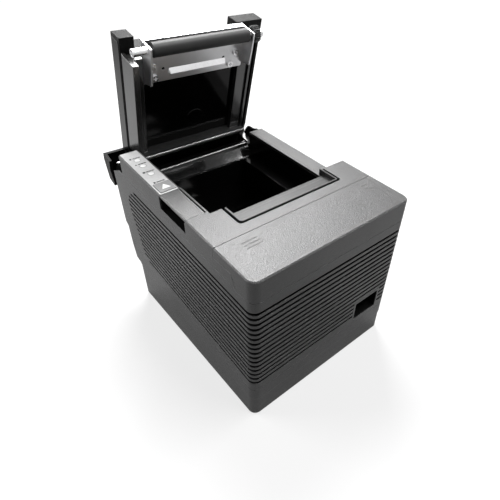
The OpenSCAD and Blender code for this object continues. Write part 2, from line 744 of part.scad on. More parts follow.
// Lever, link and latch
module open_lever() {
    color(case_color) body() difference() {
        union() {
            box([-half_w + 0.3, strip_x1 - 0.1], [strip_y0, lever_y1], [deck_z - 2, deck_z - 0.5]);
            box([-half_w + 0.9, strip_x1 - 0.7], [strip_y0, lever_y1], [deck_z - 0.6, deck_z]);
            rod_y(3.4, lever_axis_x, [strip_y0 + 0.2, lever_y1 - 0.2], lever_axis_z);
            box([crank_x + 1.3, crank_x + 2.5], [link_y - 2.6, link_y + 2.6], [lug_z - 2.6, deck_z - 1]);
        }
        rod_y(2 + 2 * fit, lever_axis_x, [strip_y0 - 1, lever_y1 + 1], lever_axis_z);
        rod(3.2, [crank_x, crank_x + 4], link_y, lug_z);
    }
}
module lever_pin() {
    color(steel) body() rod_y(2, lever_axis_x, [strip_y0 - 2.2, lever_y1 + 1.4], lever_axis_z);
}
module release_link() {
    color(steel) body() {
        box([link_x, link_x + 1], [link_y - 2, link_y + 2], [latch_z - 3, lug_z + 2.5]);
        rod(2, [link_x + 0.5, crank_x + 3], link_y, lug_z);
        rod(2, [link_x + 0.5, crank_x + 2], link_y, latch_z);
    }
}
module latch_shaft() {
    color(steel) body() difference() {
        union() {
            rod(latch_d, [crank_x, shaft_x1 - 0.1], latch_y, latch_z);
            rod(8, [crank_x, crank_x + 1.5], latch_y, latch_z);
            box([crank_x, crank_x + 1.5], [latch_y, link_y + 2.6], [latch_z - 2.6, latch_z + 2.6]);
            box([crank_x, crank_x + 6], [latch_y + 10, latch_y + 15], [latch_z + 1.6, latch_z + 2.6]);
        }
        rod(3.4, [crank_x - 1, crank_x + 3], link_y, latch_z);
    }
}
module latch_hooks() {
    nose_z = platen_z + 2.55;
    stem_y = platen_y - sleeve_d / 2 - 0.3;
    color(steel) body() for (i = [0, 1]) difference() {
        union() {
            rod(8.4, [hook_x[i], hook_x[i] + hook_w[i]], latch_y, latch_z);
            prism([hook_x[i], hook_x[i] + hook_w[i]], [[latch_y, latch_z - 3.5], [latch_y + 3, latch_z - 1],
                [stem_y - 2, platen_z - 6], [stem_y, platen_z - 3], [stem_y, nose_z],
                    [platen_y - 1.8, nose_z], [platen_y - 1.8, nose_z + 0.7],
                [stem_y - 1.5, nose_z + 3], [stem_y - 3, nose_z + 2], [latch_y - 3.5, latch_z + 2]]);
        }
        rod(latch_d, [hook_x[i] - 1, hook_x[i] + hook_w[i] + 1], latch_y, latch_z);
    }
}
module latch_spring() {
    color(steel) body() translate([crank_x + 3.8, latch_y + 12.5, latch_z + 2.6])
        coil(1.8, 0.5, recess_z0 - 2 - latch_z - 2.6, 12);
}

// Roll bucket
module roll_bucket() {
    mid_y = 133;
    mid_z = deck_z - 60.8;
    low_z = mid_z + 19;
    t = 2;
    half = bucket_w / 2;
    out = half + t;
    rim_y0 = mid_y - bucket_r;
    rim_y1 = mid_y + bucket_r;
    barrel = 6.5;
    color(black) body() {
        difference() {
            union() {
                rod(2 * (bucket_r + t), [-out, out], mid_y, mid_z);
                box([-out, out], [rim_y0 - t, rim_y1 + t], [mid_z, low_z]);
                box([-out, out], [rim_y0 + 6, rim_y1 + t], [mid_z, tray_z]);
                box([rib_x0, shelf_x0 + shelf_wall], [rim_y0 + 6, rim_y1 + t], [tray_z - 2, tray_z]);
                box([shelf_x0, shelf_x0 + shelf_wall], [shelf_y0 + 10, strip_y1], [tray_z - 2,
                    shelf_z - wall - seam_gap]);
                prism([rib_x1 + 0.3, shelf_x0 - 0.3],
                    [[rim_y1, mid_z + 14], [rim_y1, mid_z + 22], [hinge_y - 6, hinge_z + 2.6],
                    [hinge_y, hinge_z], [rim_y1 + 4, mid_z + 14]]);
                rod(2 * barrel, [rib_x1 + 0.3, shelf_x0 - 0.3], hinge_y, hinge_z);
            }
            rod(2 * bucket_r, [-half, half], mid_y, mid_z);
            box([-half, half], [rim_y0, rim_y1], [mid_z, deck_z]);
            box([rib_x1, shelf_x0], [rim_y0 - 10, rim_y1], [tray_z, deck_z]);
            box([-half, half], [rim_y0 - t - 1, rim_y0 + 1], [low_z, deck_z]);
            rod(2 * (barrel - 1.6), [-80, 80], hinge_y, hinge_z);
            box([-half_w, half_w], [hinge_y - 3, hinge_y + 20], [mid_z - 2, hinge_z - 0.5]);
            prism([-half_w, half_w], [[rim_y1 + 2, mid_z + 8], [rim_y1 + 2, mid_z + 21.4],
                [hinge_y - 4.5, hinge_z], [hinge_y + 4, hinge_z], [hinge_y + 4, mid_z + 8]]);
        }
    }
}
module paper_sensor() {
    color(black) body() {
        box([-bucket_w / 2 - 6, -bucket_w / 2 - 2], [138, 154], [deck_z - 84.8, deck_z - 72.8]);
        rod(5, [-bucket_w / 2 - 9, -bucket_w / 2 - 6], 146, deck_z - 78.8);
    }
}

// Exit guide in the deck
module guide_plan(inset) {
    left_r = guide_left_r - inset;
    right_r = max(0.2, guide_right_r - inset);
    x0 = guide_x0 + inset;
    x1 = guide_x1 - inset;
    y0 = guide_y0 + inset;
    translate([x0 + left_r, y0]) square([x1 - right_r - x0 - left_r, guide_y1 - y0 + inset]);
    translate([x0, y0 + left_r]) square([left_r + 1, guide_y1 - y0 - left_r + inset]);
    translate([x1 - right_r - 1, y0 + right_r]) square([right_r + 1, guide_y1 - y0 - right_r + inset]);
    translate([x0 + left_r, y0 + left_r]) circle(left_r);
    translate([x1 - right_r, y0 + right_r]) circle(right_r);
}
module exit_guide() {
    color("#8a8a8a") body() difference() {
        translate([0, 0, ledge_z - 2]) linear_extrude(deck_z - 0.3 - ledge_z + 2) guide_plan(0);
        translate([0, 0, ledge_z]) linear_extrude(10) guide_plan(guide_t);
        box([guide_x0 + guide_t, guide_x1 - guide_t], [ledge_step_y, guide_y1 + 1], [ledge_z - 0.5, deck_z]);
        box([guide_x0 + guide_t, guide_x1 - guide_t], [ledge_y1, guide_y1 + 1], [ledge_z - 3, deck_z]);
    }
}

// Sheet metal frame of the feed mechanism
module side_notch(x) {
    box(x, [platen_y - sleeve_d / 2 - 0.2, platen_y + sleeve_d / 2 + 0.2], [platen_z, frame_z1 + 1]);
    rod(sleeve_d + 0.4, x, platen_y, platen_z);
}
module mechanism_frame() {
    color(steel) body() difference() {
        union() {
            box([plate_left, plate_left + sheet], [frame_y0, frame_y1], [frame_z0, frame_z1]);
            box([plate_right, plate_right + 1], [frame_y0, frame_y1], [frame_z0, frame_z1]);
            box([plate_left, plate_inner + sheet], [50, frame_y1], [floor_z, floor_z + sheet]);
            box([plate_left, plate_inner], [50, 50 + sheet], [floor_z, floor_z + 24]);
            box([plate_inner, plate_inner + sheet], [50, frame_y1], [floor_z - 34, floor_z + 11.5]);
            box([plate_inner, plate_right + 1], [frame_y0, frame_y0 + sheet], [frame_z0, frame_z1]);
            box([plate_inner, plate_inner + sheet], [frame_y0, 52], [frame_z0, floor_z + 11.5]);
            box([-frame_screw_x - 4, plate_left + sheet], [54, 76], [frame_z0, frame_z0 + sheet]);
            box([plate_right, frame_screw_x + 4], [54, 76], [frame_z0, frame_z0 + sheet]);
        }
        side_notch([plate_left - 1, plate_left + 2]);
        side_notch([plate_right - 1, plate_right + 2]);
        rod(latch_d + 2 * fit, [-60, 60], latch_y, latch_z);
        rod(3, [-60, 60], head_pivot_y, head_pivot_z);
        rod(8, [plate_inner - 1, plate_inner + 2], motor_y, motor_z);
        rod(3, [plate_inner - 1, plate_inner + 2], reduction_y, reduction_z);
        rod(3, [plate_inner - 1, plate_inner + 2], idler_y, idler_z);
        for (x = [-frame_screw_x, frame_screw_x]) post(3.2, x, 65, [frame_z0 - 1, frame_z0 + 3]);
    }
}
module frame_screws() {
    color(steel) body() for (x = [-frame_screw_x, frame_screw_x]) difference() {
        union() {
            post(3, x, 65, [frame_z0 - 3, frame_z0 + sheet]);
            post(6, x, 65, [frame_z0 + sheet, frame_z0 + sheet + 2]);
        }
        for (a = [0, 90]) translate([x, 65, frame_z0 + sheet + 2]) rotate(a) cube([3.6, 0.8, 1.6],
            center = true);
    }
}
module print_head() {
    color("#c9b79a") body() {
        box([roller_x0 - 1, roller_x1 + 1], [head_y - 0.9, head_y - 0.15],
            [head_pivot_z + 5.5, head_top_z]);
        box([roller_x0 + 1, roller_x1 - 1], [head_y - 0.15, head_y], [platen_z - 0.6, platen_z + 0.6]);
    }
}
module head_sink() {
    color(steel) body() difference() {
        union() {
            box([-43, 44], [head_y - 4.9, head_y - 0.9], [head_pivot_z - 2, head_top_z]);
            box([-43, 44], [head_pivot_y - 3, head_y - 0.9], [head_pivot_z - 3.2, head_pivot_z + 3]);
        }
        rod(3 + 2 * fit, [-45, 46], head_pivot_y, head_pivot_z);
    }
}
module head_pivot() {
    color(steel) body() rod(3, [plate_left - 0.4, plate_inner + sheet + 0.4], head_pivot_y, head_pivot_z);
}
module head_springs() {
    color(steel) body() for (x = [-24, 26]) translate([x, 50 + sheet, head_pivot_z + 12]) rotate([-90, 0, 0])
        coil(2.6, 0.7, head_y - 5.6 - 50 - sheet, 6);
}
module paper_guide() {
    color(black) body() {
        prism([-41, 43.5], [[77.5, floor_z + 9.4], [80, floor_z + 10.6], [87.7, floor_z + 11.2],
            [87.7, floor_z + 9.2], [80, floor_z + 8.2]]);
        box([-41, 43.5], [79, 80.5], [floor_z + sheet, floor_z + 8.6]);
    }
}
module feed_motor() {
    color("#3a3a3e") body() {
        rod(28, [24.8, plate_inner], motor_y, motor_z);
        rod(6, [plate_inner - 1, plate_inner + sheet], motor_y, motor_z);
        rod(4, [22.8, 24.9], motor_y, motor_z);
    }
}
module motor_pinion() {
    color("#d9c27a") body() {
        gear([wheel_x0 - 0.2, wheel_x1 + 0.2], motor_y, motor_z, small_teeth, feed_module, pinion_phase, 2);
        rod(2, [plate_inner + sheet + 0.1, wheel_x1 + 0.2], motor_y, motor_z);
    }
}
module reduction_gear() {
    color("#e8e8e0") body() difference() {
        union() {
            gear([wheel_x0, wheel_x1], reduction_y, reduction_z, large_teeth, feed_module, small_phase, 2);
            gear([gear_x0, wheel_x0 + eps], reduction_y, reduction_z, small_teeth, feed_module,
                small_phase, 2);
        }
        rod(3 + 2 * fit, [48, 54], reduction_y, reduction_z);
    }
}
module idler_gear() {
    color("#e8e8e0") body() gear([gear_x0, gear_x1], idler_y, idler_z, idler_teeth, feed_module,
        idler_phase, 3 + 2 * fit);
}
module gear_posts() {
    color(steel) body() {
        rod(3, [plate_inner, wheel_x1 + 0.4], reduction_y, reduction_z);
        rod(3, [plate_inner, gear_x1 + 0.2], idler_y, idler_z);
    }
}

// Cutter
module cutter_frame() {
    color(steel) body() difference() {
        union() {
            box([plate_left, plate_right + 1], [16, 66], [cutter_floor_z, cutter_floor_z + sheet]);
            for (x = [-43.4, 45.6]) box([x, x + sheet], [47, 66], [cutter_floor_z, ledge_z - 2]);
            box([cutter_plate_x, cutter_plate_x + sheet], [31, 60], [cutter_floor_z, cutter_z + 3]);
        }
        rod(3 + 2 * fit, [-50, 50], cutter_y, cutter_z);
        rod(motor_boss_d, [cutter_plate_x - 1, cutter_plate_x + 2], cutter_motor_y, cutter_motor_z);
    }
}
module cutter_blade() {
    color("#d5d7da") body() translate([0, 0, blade_z]) linear_extrude(blade_t)
        polygon([[-41, 48], [-41, 66.4], [roller_x, 64.2], [44.6, 66.4], [44.6, 48]]);
}
module blade_carrier() {
    pitch = PI * cutter_module;
    tall = addendum * cutter_module;
    low = dedendum * cutter_module;
    lean_in = tan(pressure);
    half = pitch / 4 - backlash / 2;
    color("#9a9a9a") body() {
        box([-41, 44.6], [carrier_y0, 56], [cutter_floor_z + sheet + 0.3, blade_z]);
        for (x = rack_x) {
            box([x, x + rack_w], [38, 54.8], [blade_z + blade_t, rack_line_z - low]);
            box([x, x + rack_w], [38, 47.5], [cutter_floor_z + sheet + 0.3, rack_line_z - low]);
            for (i = [-6:2]) translate([0, cutter_y + (i + 0.5) * pitch, rack_line_z]) prism([x, x + rack_w],
                [[-half - low * lean_in, -low - eps], [-half + tall * lean_in, tall],
                    [half - tall * lean_in, tall], [half + low * lean_in, -low - eps]]);
        }
    }
}
module cutter_shaft() {
    color(steel) body() {
        rod(3, [-45, cutter_wheel_x + 3.4], cutter_y, cutter_z);
        for (x = rack_x) gear([x + 0.3, x + rack_w - 0.3], cutter_y, cutter_z, rack_pinion_teeth,
            cutter_module, -90, 2);
    }
}
module cutter_gear() {
    color("#e8e8e0") body() gear([cutter_wheel_x, cutter_wheel_x + 3], cutter_y, cutter_z,
        cutter_wheel_teeth, cutter_module, cutter_wheel_phase, 3);
}
module cutter_motor() {
    color("#3a3a3e") body() {
        rod(11, [20, cutter_plate_x], cutter_motor_y, cutter_motor_z);
        rod(motor_boss_d, [cutter_plate_x - 1, cutter_plate_x + sheet], cutter_motor_y, cutter_motor_z);
    }
}
module cutter_pinion() {
    color("#d9c27a") body() {
        gear([cutter_wheel_x, cutter_wheel_x + 3], cutter_motor_y, cutter_motor_z, cutter_motor_teeth,
            cutter_module,
            cutter_motor_phase, 2);
        rod(2, [cutter_plate_x + sheet + 0.1, cutter_wheel_x + 3.4], cutter_motor_y, cutter_motor_z);
    }
}

// Board and sockets
module main_board() {
    color("#24543a") body() difference() {
        union() {
            box([-board_x, board_x], [pcb_y0, pcb_y1], [pcb_z, pcb_z + pcb_t]);
            box([-10, 12], [90, 112], [pcb_z + pcb_t, pcb_z + pcb_t + 1.6]);
            box([-40, -26], [130, 152], [pcb_z + pcb_t, pcb_z + pcb_t + 1.6]);
            for (y = [60, 76]) post(10, -44, y, [pcb_z + pcb_t, pcb_z + 16]);
        }
        for (x = [-board_x + 4, board_x - 4], y = [pcb_y0 + 5, pcb_y1 - 8]) post(3.2, x, y,
            [pcb_z - 1, pcb_z + 3]);
    }
}
module socket(x, w, h, mouth_w, mouth_h) {
    z0 = pcb_z + pcb_t;
    difference() {
        box([x - w / 2, x + w / 2], [socket_y0, base_depth - 0.4], [z0, z0 + h]);
        box([x - mouth_w / 2, x + mouth_w / 2], [socket_floor_y, base_depth + 1],
            [z0 + (h - mouth_h) / 2, z0 + (h + mouth_h) / 2]);
    }
}
module power_inlet() {
    color(black) body() {
        z = pcb_z + pcb_t + 8.2;
        difference() {
            box([inlet_x - 8, inlet_x + 8], [socket_y0, base_depth - 0.4], [pcb_z + pcb_t, z + 7.6]);
            rod_y(12, inlet_x, [socket_floor_y + 1, base_depth + 1], z);
        }
        for (a = [90, 210, 330]) rod_y(1.2, inlet_x + 3 * cos(a), [socket_floor_y, base_depth - 3],
            z + 3 * sin(a));
    }
}
module data_sockets() {
    color("#c4c4c8") body() {
        socket(usb_x, 12, 10.8, 8.6, 7.8);
        box([usb_x - 2.8, usb_x + 2.8], [contact_y0, base_depth - 3],
            [pcb_z + pcb_t + 3.9, pcb_z + pcb_t + 6.9]);
        socket(serial_x, 31, 12.4, 17, 8.6);
        box([serial_x - 7.6, serial_x + 7.6], [contact_y0, base_depth - 3],
            [pcb_z + pcb_t + 4.4, pcb_z + pcb_t + 8]);
    }
}
module drawer_socket() {
    color("#b5b5b5") body() socket(drawer_x, 14, 12.6, 10, 7);
}

// Power switch in its pocket
switch_x = 43.6;
switch_z = window_z0 + window_h / 2;
rocker_half = 6.3;
module switch_body() {
    color(black) body() {
        difference() {
            box([window_x0 + 2.2, window_x0 + window_w - 2.2], [12.2, 28],
                [window_z0 + 1.8, window_z0 + window_h - 1.8]);
            box([switch_x - 9.6, switch_x + 9.6], [12, 25],
                [switch_z - rocker_half - 0.3, switch_z + rocker_half + 0.3]);
            post(2, switch_x, 18, [window_z0, window_z0 + window_h]);
        }
        post(2, switch_x, 18, [switch_z - rocker_half - 0.8, switch_z + rocker_half + 0.8]);
        for (x = [-6, 0, 6]) box([switch_x + x - 0.4, switch_x + x + 0.4], [28, 34],
            [switch_z - 2, switch_z + 2]);
    }
}
module power_rocker() {
    color("#2a2a2a") body() translate([switch_x, 18, switch_z - rocker_half]) rotate(6) difference() {
        linear_extrude(2 * rocker_half) polygon([[-8.6, -8.4], [0, -7], [8.6, -8.4], [7.6, 0.5], [2.6, 0.5],
            [2, 2.6], [-2, 2.6], [-2.6, 0.5], [-7.6, 0.5]]);
        post(2 + 2 * fit, 0, 0, [-1, 2 * rocker_half + 1]);
    }
}

// Hinge
module hinge_pins() {
    color(steel) body() for (s = [-1, 1])
        rod(hinge_pin_d, side(s, 12.9, 2.5), hinge_y, hinge_z);
}
module hinge_washers() {
    color(steel) body() for (s = [-1, 1]) difference() {
        rod(10, side(s, 6.5, 5.7), hinge_y, hinge_z);
        rod(hinge_pin_d + 0.1, side(s, 8, 5), hinge_y, hinge_z);
    }
}

// Cover, drawn shut and then opened
module tail_block(x, inset) {
    drop = inset > 0 ? 9 : 0;
    foot = inset > 0 ? inset : 4;
    prism(x, [[tail_y0 + inset, tail_skirt_z - drop], [tail_y0 + inset, deck_z - inset],
        [shoulder_y - inset / 4, deck_z - inset], [tail_y1 - inset, shoulder_z - inset * 0.8],
        [tail_y1 - inset, tail_rear_z - drop], [tail_y1 - foot, tail_rear_z - drop],
            [194, tail_skirt_z - drop]]);
}
module ear(x) {
    prism(x, [[ear_y0 - ear_slant, shell_z0], [ear_y0, deck_z - 0.6], [ear_y0 + 0.6, deck_z],
        [tail_y0 + 2, deck_z], [tail_y0 + 2, shell_z0]]);
}
module cover_shell() {
    color(case_color) on_cover() {
        difference() {
            union() {
                ear([cover_x0, ear_x1]);
                ear([ear_x2, cover_x1]);
                box([ear_x1 - eps, ear_x2 + eps], [skin_y0, tail_y0 + 2], [shell_z0, deck_z]);
            }
            box([cover_x0 + wall, cover_x1 - wall], [skin_y0 + skin, tail_y0 + 3],
                [shell_z0 - 1, deck_z - wall]);
        }
        difference() {
            tail_block([-half_w, half_w], 0);
            tail_block([-half_w + wall, half_w - wall], wall);
            box([cover_x0 + wall, cover_x1 - wall], [tail_y0 - 1, tail_y0 + wall + 1],
                [shell_z0 - 5, deck_z - wall]);
            box([-half_w + wall, cover_x0], [tail_y0 - 1, tail_y0 + wall + 1],
                [shell_z0 - 5, deck_z - wall]);
        }
    }
}
module arm(x) {
    difference() {
        union() {
            rod(arm_w, x, hinge_y, hinge_z);
            box(x, [hinge_y - arm_w / 2, hinge_y + arm_w / 2], [hinge_z, liner_z + 8]);
        }
        rod(hinge_pin_d + 2 * fit, [x[0] - 1, x[1] + 1], hinge_y, hinge_z);
    }
}
module cover_liner() {
    top = deck_z - wall;
    lip_y = 172.5;
    lip_z = right_skirt_z - 4;
    color("#3c3c3c") on_cover() difference() {
        union() {
            box([liner_x0 + 2.4, liner_x1 + 1], [skin_y0 + skin + 0.3, hinge_y - 7], [liner_z, liner_z + 2]);
            box([liner_x0 + 0.1, liner_x0 + 2.5], [liner_y0, liner_y1], [left_skirt_z, shell_z0]);
            box([liner_x0 + 2.3, liner_x0 + 4.6], [liner_y0, liner_y1], [left_skirt_z, liner_z + 2]);
            box([liner_x1 - 2, liner_x1], [liner_y0, liner_y1], [right_skirt_z, liner_z + 2]);
            box(left_rail, [liner_y0, lip_y + 1], [rail_z, liner_z + eps]);
            box(right_rail, [liner_y0, lip_y + 1], [rail_z, liner_z + eps]);
            box([liner_x0 + 2.4, liner_x1], [lip_y, lip_y + 3], [lip_z, liner_z + eps]);
            rod(4, [liner_x0 + 2.4, liner_x1], lip_y + 1.5, lip_z);
            box([-arm_x1 - 0.2, arm_x1 + 0.2], [hinge_y - 7.4, hinge_y + 7], [liner_z + 4, liner_z + 6]);
            box([liner_x0 + 2.4, liner_x1 + 1], [hinge_y - 9, hinge_y - 6.8], [liner_z, liner_z + 6]);
            for (s = [-1, 1]) arm(side(s, 12.3, 6.7));
            for (p = screw_xy) post(7, p[0], p[1], [bracket_z + sheet, liner_z + eps]);
            for (x = [-46, 0, 50], y = [96, 160]) post(6, x, y, [liner_z + 1, top]);
        }
        for (p = screw_xy) post(2.4, p[0], p[1], [bracket_z - 1, liner_z + 1]);
        box([cheek_x0 - 0.2, cheek_x1 + 0.3], [liner_y0 - 1, bracket_y1 + 0.3],
            [rail_z - 1, bracket_z + sheet]);
    }
}
module liner_panel() {
    color(black) on_cover() {
        box([left_rail[1] + 0.2, right_rail[0] - 0.2], [108, 172.2], [liner_z - 1.2, liner_z]);
        post(16, 6, 152, [liner_z - 1.8, liner_z - 1]);
    }
}
module platen_bracket() {
    color(steel) on_cover() difference() {
        union() {
            box([cheek_x0, cheek_x1], [bracket_y0, bracket_y1], [bracket_z, bracket_z + sheet]);
            box([cheek_x0, cheek_x1], [bracket_y0, bracket_y0 + 1], [bracket_z, flange_z]);
            prism([cheek_x0, cheek_x0 + sheet],
                [[70.4, bracket_z + 0.1], [104.5, bracket_z + 0.1], [100, bracket_z - 12],
                [84, bracket_z - 13], [70, bracket_z - 13]]);
            prism([cheek_x1 - sheet, cheek_x1],
                [[70.4, bracket_z + 0.1], [101.5, bracket_z + 0.1], [98, bracket_z - 12.4],
                [84, bracket_z - 13.5], [70, bracket_z - 13.5]]);
            box([-22.2, 30], [96.5, 100], [bracket_z - 0.6, bracket_z + 0.1]);
        }
        for (x = [-31.7, 1.5, 34.9]) box([x - slot_w / 2, x + slot_w / 2],
            [bracket_y0 - 1, bracket_y0 + 2], [bracket_z + 2.2, bracket_z + 3.8]);
        for (p = screw_xy) post(3.2, p[0], p[1], [bracket_z - 1, bracket_z + 2]);
        for (p = [[-26.5, 95.1], [27.8, 94.9]]) post(2.6, p[0], p[1], [bracket_z - 1, bracket_z + 2]);
        rod(sleeve_d, [-60, 60], platen_y, platen_z);
    }
}
module bracket_screws() {
    color(steel) on_cover() for (p = screw_xy) difference() {
        union() {
            post(3, p[0], p[1], [bracket_z, bracket_z + sheet]);
            post(2.4, p[0], p[1], [bracket_z + sheet - eps, liner_z + 0.8]);
            post(5.4, p[0], p[1], [bracket_z - 1.6, bracket_z]);
        }
        for (a = [0, 90]) translate([p[0], p[1], bracket_z - 1.6]) rotate(a) cube([3.4, 0.8, 1.6],
            center = true);
    }
}
module platen_shaft() {
    color(steel) on_cover() rod(platen_shaft_d, [shaft_x0, shaft_x1], platen_y, platen_z);
}
module platen_sleeves() {
    color(steel) on_cover() for (x = [[sleeve_x0, cheek_x0 + sheet],
        [cheek_x1 - sheet, platen_gear_x0 - 0.4]]) difference() {
        rod(sleeve_d, x, platen_y, platen_z);
        rod(platen_shaft_d + 2 * fit, [x[0] - 1, x[1] + 1], platen_y, platen_z);
    }
}
module platen_roller() {
    color("#555555") on_cover() difference() {
        rod(roller_d, [roller_x0, roller_x1], platen_y, platen_z);
        rod(platen_shaft_d, [roller_x0 - 1, roller_x1 + 1], platen_y, platen_z);
    }
}
module platen_gear() {
    color(black) on_cover() gear([platen_gear_x0, platen_gear_x1], platen_y, platen_z, platen_teeth,
        feed_module, platen_phase, platen_shaft_d);
}

module end_sleeve() {
    color(steel) on_cover() difference() {
        rod(sleeve_d, [platen_gear_x1 + 0.4, shaft_x1], platen_y, platen_z);
        rod(platen_shaft_d, [platen_gear_x1, shaft_x1 + 1], platen_y, platen_z);
    }
}

lower_case();
main_case();
top_deck();
front_cover();
panel_label();
lamp_windows();
feed_button();
button_spring();
strip_board();
open_lever();
lever_pin();
release_link();
latch_shaft();
latch_hooks();
latch_spring();
roll_bucket();
paper_sensor();
exit_guide();
mechanism_frame();
print_head();
head_sink();
head_pivot();
head_springs();
paper_guide();
feed_motor();
motor_pinion();
reduction_gear();
idler_gear();
gear_posts();
cutter_frame();
cutter_blade();
blade_carrier();
cutter_shaft();
cutter_gear();
cutter_motor();
cutter_pinion();
main_board();
power_inlet();
data_sockets();
drawer_socket();
power_rocker();
switch_body();
rubber_feet();
base_screws();
frame_screws();
hinge_pins();
hinge_washers();
cover_shell();
cover_liner();
liner_panel();
platen_bracket();
bracket_screws();
platen_shaft();
platen_sleeves();
platen_roller();
platen_gear();
end_sleeve();
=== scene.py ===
import json
import math

import bpy
from mathutils import Matrix, Vector


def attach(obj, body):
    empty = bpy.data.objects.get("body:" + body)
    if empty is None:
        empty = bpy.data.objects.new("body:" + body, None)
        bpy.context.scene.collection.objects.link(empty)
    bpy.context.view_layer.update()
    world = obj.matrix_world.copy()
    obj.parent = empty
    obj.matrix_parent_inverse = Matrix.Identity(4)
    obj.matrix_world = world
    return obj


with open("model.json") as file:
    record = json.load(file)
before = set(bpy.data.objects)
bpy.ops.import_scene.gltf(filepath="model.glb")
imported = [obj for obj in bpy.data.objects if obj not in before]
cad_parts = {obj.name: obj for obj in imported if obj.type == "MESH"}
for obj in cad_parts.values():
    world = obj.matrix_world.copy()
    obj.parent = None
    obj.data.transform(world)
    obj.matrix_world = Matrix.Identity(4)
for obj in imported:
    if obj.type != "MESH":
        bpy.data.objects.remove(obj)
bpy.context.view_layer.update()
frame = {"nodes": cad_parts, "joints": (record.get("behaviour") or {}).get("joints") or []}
nodes = frame["nodes"]
joints = {joint["name"]: joint for joint in frame["joints"]}
print("frame loaded with", len(nodes), "nodes")

# The body leans forward on its wedge base. Its own frame starts at the front bottom edge, with X to the right
# and Z up to the deck.
body = {
    "lean": math.radians(6.2),
    "openAngle": math.radians(75.2),
    "halfWidth": 0.0725,
    "deckZ": 0.1428,
    "hingeY": 0.193,
    "hingeZ": 0.1085,
    "cornerRadius": 0.0065,
}
hingePlace = Vector(joints["cover_hinge"]["pos_m"])
toHinge = Matrix.Translation((0, -body["hingeY"], -body["hingeZ"]))
leaned = Matrix.Translation(hingePlace) @ Matrix.Rotation(body["lean"], 4, "X")
bodyFrame = leaned @ toHinge
coverFrame = leaned @ Matrix.Rotation(-body["openAngle"], 4, "X") @ toHinge


# The camera of the photograph, in metres and in pixels of its 500 pixel frame
photoCamera = {
    "place": (-0.16865, -0.26611, 0.30083),
    "right": (0.7605, -0.6490, -0.0208),
    "down": (-0.3692, -0.4059, -0.8360),
    "focalPixels": 423.8,
    "centrePixels": (292.9, 224.5),
    "framePixels": 500,
    "sensor": 36,
    "clipStart": 0.01,
}


def addCamera(look):
    right = Vector(look["right"]).normalized()
    up = -Vector(look["down"])
    up = (up - right * up.dot(right)).normalized()
    back = right.cross(up)
    data = bpy.data.cameras.new("photoCamera")
    data.sensor_width = look["sensor"]
    data.lens = look["focalPixels"] / look["framePixels"] * look["sensor"]
    data.shift_x = 0.5 - look["centrePixels"][0] / look["framePixels"]
    data.shift_y = look["centrePixels"][1] / look["framePixels"] - 0.5
    data.clip_start = look["clipStart"]
    camera = bpy.data.objects.new("photoCamera", data)
    bpy.context.scene.collection.objects.link(camera)
    turn = Matrix((right, up, back)).transposed().to_4x4()
    camera.matrix_world = Matrix.Translation(look["place"]) @ turn
    bpy.context.scene.camera = camera


addCamera(photoCamera)
print("camera placed")


# Shader graphs: a Wire is an output socket that can stand in sums
class Wire:
    def __init__(self, shader, socket):
        self.shader = shader
        self.socket = socket

    def __add__(self, other):
        return self.shader.maths("ADD", self, other)

    __radd__ = __add__

    def __sub__(self, other):
        return self.shader.maths("SUBTRACT", self, other)

    def __rsub__(self, other):
        return self.shader.maths("SUBTRACT", other, self)

    def __mul__(self, other):
        return self.shader.maths("MULTIPLY", self, other)

    __rmul__ = __mul__

    def __pow__(self, other):
        return self.shader.maths("POWER", self, other)


# How finely an edge is rounded in the shading, and how soon a rounded edge is painted lighter, as wear and as
# a painted highlight
edgeFinish = {"samples": 4, "gain": 4.0}


